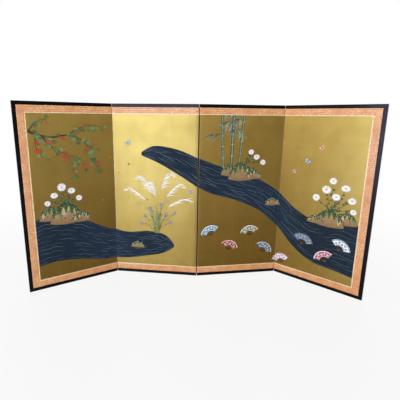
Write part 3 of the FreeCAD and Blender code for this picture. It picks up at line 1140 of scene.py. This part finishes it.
# Each motif's name and lowest level, and what paints it, with one row for each call
LAYOUT = (
    ("water", 0, stream, (
        ([(30, 352), (130, 372), (250, 344), (380, 272), (500, 236), (620, 246), (715, 226), (760, 176)],
         [(30, 118), (130, 132), (250, 118), (380, 88), (500, 84), (620, 104), (705, 124), (760, 160)],
         11),
        ([(1745, 352), (1640, 372), (1520, 346), (1410, 392), (1300, 478), (1180, 548), (1040, 590),
          (900, 640), (780, 688), (660, 706), (590, 672)],
         [(1745, 92), (1640, 108), (1520, 122), (1420, 178), (1320, 274), (1210, 366), (1080, 424),
          (930, 470), (800, 548), (690, 612), (590, 656)],
         13))),
    ("rocks", ABOVE_WATER, boulder, (
        (122, 352, 104, 66), (262, 326, 96, 52), (192, 330, 150, 108), (560, 150, 74, 34),
        (1046, 560, 96, 58), (1172, 540, 92, 50), (1108, 536, 140, 92), (1290, 392, 86, 38),
        (1650, 356, 112, 62), (1520, 336, 84, 40), (1584, 334, 136, 84))),
    ("maple", 0, maple_limb, (
        ([(30, 800), (84, 768), (150, 752), (222, 760), (290, 736), (352, 706)], (15, 11, 9, 6, 3, 1.2), 15),
        ([(110, 760), (150, 706), (206, 668), (238, 618), (242, 566)], (8, 5, 3.5, 2.2, 1.0), 15),
        ([(222, 760), (276, 792), (336, 806), (392, 796)], (5, 3.2, 2.2, 1.0), 10),
        ([(290, 736), (330, 676), (338, 622), (372, 590)], (4.5, 3, 2, 0.9), 12),
        ([(206, 668), (262, 652), (304, 610)], (3, 2, 0.8), 7),
        ([(60, 784), (92, 822), (150, 838)], (6, 3.5, 1.4), 6),
        ([(84, 768), (84, 706), (112, 652)], (5, 3, 1.2), 8))),
    ("maple", 0, fallen_leaf, (
        (420, 640), (468, 560), (520, 610), (440, 470), (548, 470), (380, 420), (618, 420))),
    ("pampas_grass", 0, pampas, (
        (668, 236, ((-120, 236), (-66, 300), (-14, 268), (44, 318), (92, 262), (138, 190))),)),
    ("pampas_grass", 0, bellflowers, (
        ((668, 240),
         ((604, 330), (632, 372), (584, 288), (718, 344), (742, 298), (690, 396), (764, 352))),)),
    ("chrysanthemums", 0, flower_bunch, (
        (196, 426, ((-52, 46, 17), (-16, 84, 20), (28, 62, 18), (62, 22, 15), (-84, 10, 14))),
        (1592, 408, ((-78, 58, 18), (-34, 104, 21), (12, 74, 19), (50, 122, 20), (82, 66, 18),
                     (-8, 150, 17), (92, 14, 14))),
        (1130, 618, ((56, 34, 16), (92, 6, 15), (26, 60, 15))))),
    ("bamboo", 0, bamboo, (
        (1010, 594, -0.05, 6, 13), (1052, 604, 0.02, 6, 15), (1094, 618, 0.07, 5, 12))),
    ("fans", ABOVE_WATER, fan, (
        ((944, 262), 58, -24, SKY, WHITE), ((1062, 176), 56, 18, VERMILION, CREAM),
        ((1166, 256), 58, -10, OLIVE, WHITE), ((1262, 152), 60, 32, SLATE, CREAM),
        ((1352, 96), 54, -20, WHITE, VERMILION), ((1470, 238), 58, 14, SKY, CRIMSON),
        ((1568, 172), 56, -30, ROSE, WHITE), ((1652, 250), 54, 26, WHITE, SLATE))),
    ("butterflies", 0, butterfly, (
        ((1456, 640), 19, 30, WHITE, SLATE), ((1520, 712), 18, -40, CREAM, ORANGE),
        ((1394, 584), 14, 64, WHITE, ROSE), ((846, 470), 15, 20, WHITE, VIOLET),
        ((520, 716), 18, -24, WHITE, SLATE))),
)


def paint_picture(material):
    """Streams, rocks, autumn plants and drifting fans, laid out across the four panels."""
    chance = random.Random(PICTURE_SEED)
    motifs = {}
    for name, base, paint, rows in LAYOUT:
        motif = motifs.setdefault(name, Motif(name, base, chance))
        for row in rows:
            paint(motif, *row)
    for motif in motifs.values():
        motif.lay(material)


# Hinge strips

STRIP_LEVELS = 6
STRIP_HALF_SHARE = 0.45
BEND_REACH_MM = 0.8


def strip_path(fold, near_left):
    """Middle line of a strip in plan: under one face of the left panel to the other of the right."""
    under = SEAT + STRIP_THICK / 2
    leaf = FIRST + LEAF_WIDTH
    far = DEPTH - under
    edge = FIRST + WRAP_THICK + STRIP_THICK / 2
    near = [
        (leaf, under), (20 * MM, under), (5 * MM, under), (1.3 * MM, under),
        (0.62 * MM, 1.5 * MM), (0.2 * MM, 0.3 * MM)]
    past = [
        (0.2 * MM, 0.3 * MM), (0.62 * MM, 1.5 * MM), (1.15 * MM, 2.0 * MM), (edge, 2.6 * MM),
        (edge, 9 * MM), (edge, far - 0.5 * MM), (edge + 0.4 * MM, far), (5 * MM, far),
        (20 * MM, far), (leaf, far)]
    left, right = (near, past) if near_left else (past[::-1], near[::-1])
    points = []
    for number, side in ((fold, left), (fold + 1, right)):
        for distance, depth in side:
            u = PITCH - distance if number == fold else distance
            v = DEPTH - depth if fold == 2 else depth
            points.append((PLACES[number] @ Vector((u, v, 0))).to_2d())
    return points


def hinge_strips(fold, material):
    """The eight strips of one fold, each one cloth that turns round the fold's axis as it lies at rest."""
    joint = f"fold_{fold}{fold + 1}"
    name = f"{joint}_hinge_strips"
    band = (HIGH - LOW) / STRIP_COUNT
    tubes = []
    for index in range(STRIP_COUNT):
        path = strip_path(fold, (index + fold - 1) % 2 == 0)
        outward = [side * STRIP_THICK * STRIP_HALF_SHARE for side in sides(path)]
        loop = [point + out for point, out in zip(path, outward)]
        loop += [point - out for point, out in zip(path, outward)][::-1]
        low = LOW + band * index + STRIP_GAP / 2
        high = LOW + band * (index + 1) - STRIP_GAP / 2
        levels = spaced(low, high, STRIP_LEVELS)
        tubes.append([[(point.x, point.y, z) for point in loop] for z in levels])
    piece = add_object(name, loft(name, tubes, folded=True))
    piece.data.materials.append(material)
    ways = [PLACES[number].to_3x3() @ Vector((1, 0, 0)) for number in (fold, fold + 1)]
    reach = (ways[0] + ways[1]).normalized() * BEND_REACH_MM * MM
    AXES[joint] - reach
    AXES[joint] + reach
    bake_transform(piece)
    kind = "mountain" if fold == 2 else "valley"
    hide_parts(f"panel_{fold}_{kind}_hinge_strips", f"panel_{fold + 1}_{kind}_hinge_strips")


# Stage

FLOOR_SIDE = 14.0
FLOOR_TONE = 200
FLOOR_GLOW = 0.87
FLOOR_IN_METAL = 0.15
FLOOR_NEAR = 0.9
FLOOR_FAR = 2.4
WORLD_LOW = 0.1
WORLD_HIGH = 0.62
WORLD_WARMTH = (1.0, 0.88, 0.74, 1.0)
BRIGHT_SIDE = (-0.8, -0.35, 0.3)


def make_camera():
    """The photograph's view, from a fit of the panels' corners to it."""
    picture_px = 400
    focal_px = 301.1
    centre_px = (187.1, 177.9)
    place = Vector((-0.0386, -1.4426, 0.8516))
    dip, roll = (math.radians(angle) for angle in (11.44, 0.62))
    data = bpy.data.cameras.new("camera")
    data.sensor_width = 36.0
    data.lens = data.sensor_width * focal_px / picture_px
    data.shift_x = (picture_px / 2 - centre_px[0]) / picture_px
    data.shift_y = (centre_px[1] - picture_px / 2) / picture_px
    camera = add_object("camera", data)
    turn = Matrix.Rotation(math.pi / 2 - dip, 4, "X") @ Matrix.Rotation(roll, 4, "Z")
    camera.matrix_world = Matrix.Translation(place) @ turn
    bpy.context.scene.camera = camera


def ray_kinds(graph):
    """1 for what the camera sees straight, and 1 for what it sees in metal or through glass."""
    straight, glossy, through = (
        graph.node("LightPath", out=f"Is {kind} Ray") for kind in ("Camera", "Glossy", "Transmission"))
    return straight, glossy.math("MAXIMUM", through)


def make_floor():
    """A pale floor that keeps the shadow near the screen, and is white to the camera further off."""
    mesh = bpy.data.meshes.new("floor")
    corners = [(x * FLOOR_SIDE, y * FLOOR_SIDE, 0) for x, y in ((-1, -1), (1, -1), (1, 1), (-1, 1))]
    mesh.from_pydata(corners, [], [(0, 1, 2, 3)])
    graph = material_graph("floor")
    tone = graph.mix(
        graph.noise(3.0, 2.0).ramp(0.3, 0.7), srgb(FLOOR_TONE, FLOOR_TONE, FLOOR_TONE),
        srgb(FLOOR_TONE - 4, FLOOR_TONE - 4, FLOOR_TONE - 3))
    graph.set(base_color=tone, roughness=0.3, specular_ior_level=1.0)
    away = graph.node("VectorMath", (graph.place,), "Value", operation="LENGTH")
    straight, in_metal = ray_kinds(graph)
    shown = straight * away.ramp(FLOOR_NEAR, FLOOR_FAR, FLOOR_GLOW, 1.0) + in_metal * FLOOR_IN_METAL
    graph.cover(shown, graph.node("Emission"), "Material Output")
    mesh.materials.append(graph.owner)
    add_object("floor", mesh)


def make_world():
    """A white background, and a soft room that is brighter on the left than on the right."""
    world = bpy.data.worlds.new("studio")
    bpy.context.scene.world = world
    graph = Graph(world, "Background")
    way = graph.node("TexCoord", out="Generated")
    bright_side = Vector(BRIGHT_SIDE).normalized()
    toward = graph.node("VectorMath", (way, bright_side), "Value", operation="DOT_PRODUCT")
    graph.set(color=WORLD_WARMTH, strength=toward.ramp(-0.35, 0.35, WORLD_LOW, WORLD_HIGH))
    straight, in_metal = ray_kinds(graph)
    behind = graph.split(way)[1].math("GREATER_THAN", 0.0)
    white = graph.node("Background", {"Color": (1.0, 1.0, 1.0, 1.0)})
    graph.cover(in_metal * behind + straight, white, "World Output")


def area_light(name, place, target, size, power, colour=(1, 1, 1)):
    data = bpy.data.lights.new(name, "AREA")
    data.shape = "RECTANGLE"
    data.size, data.size_y = size
    data.energy = power
    data.color = colour
    light = add_object(name, data)
    light.location = place
    light.rotation_euler = (Vector(target) - Vector(place)).to_track_quat("-Z", "Y").to_euler()


def make_lights():
    middle = (0, 0, HEIGHT / 2)
    area_light("key", (-1.2, -2.9, 0.6), middle, (1.7, 1.2), 64, (0.76, 1.0, 1.7))
    area_light("side", (-2.9, -1.9, 1.8), middle, (1.4, 1.4), 10, (1.0, 0.96, 0.9))
    area_light("top", (0.0, -0.6, 3.0), middle, (3.0, 2.0), 33, (1.0, 0.95, 0.86))
    area_light("back", (0.8, 2.8, 2.0), middle, (2.4, 1.6), 40)


# The whole scene


def build():
    bpy.context.scene.view_settings.view_transform = "Standard"
    make_camera()
    make_floor()
    make_world()
    make_lights()
    materials = {
        "gold_leaf_picture": gold_leaf(),
        "back_covering": woven(
            "back_covering", srgb(58, 66, 58), srgb(44, 52, 48), srgb(112, 112, 84),
            pitch=17 * MM, sheen=0.05),
        "brocade": woven(
            "brocade", srgb(216, 143, 72), srgb(197, 116, 55), srgb(233, 183, 120),
            pitch=10 * MM, sheen=0.12, worn=srgb(243, 209, 160)),
        "gold_line": gold_line_cloth(),
    }
    for number in NUMBERS:
        dress_panel(number, materials)
        dress_solids(number)
    for fold in NUMBERS[:-1]:
        hinge_strips(fold, hinge_cloth(fold))
    paint_picture(mineral_pigment())


build()
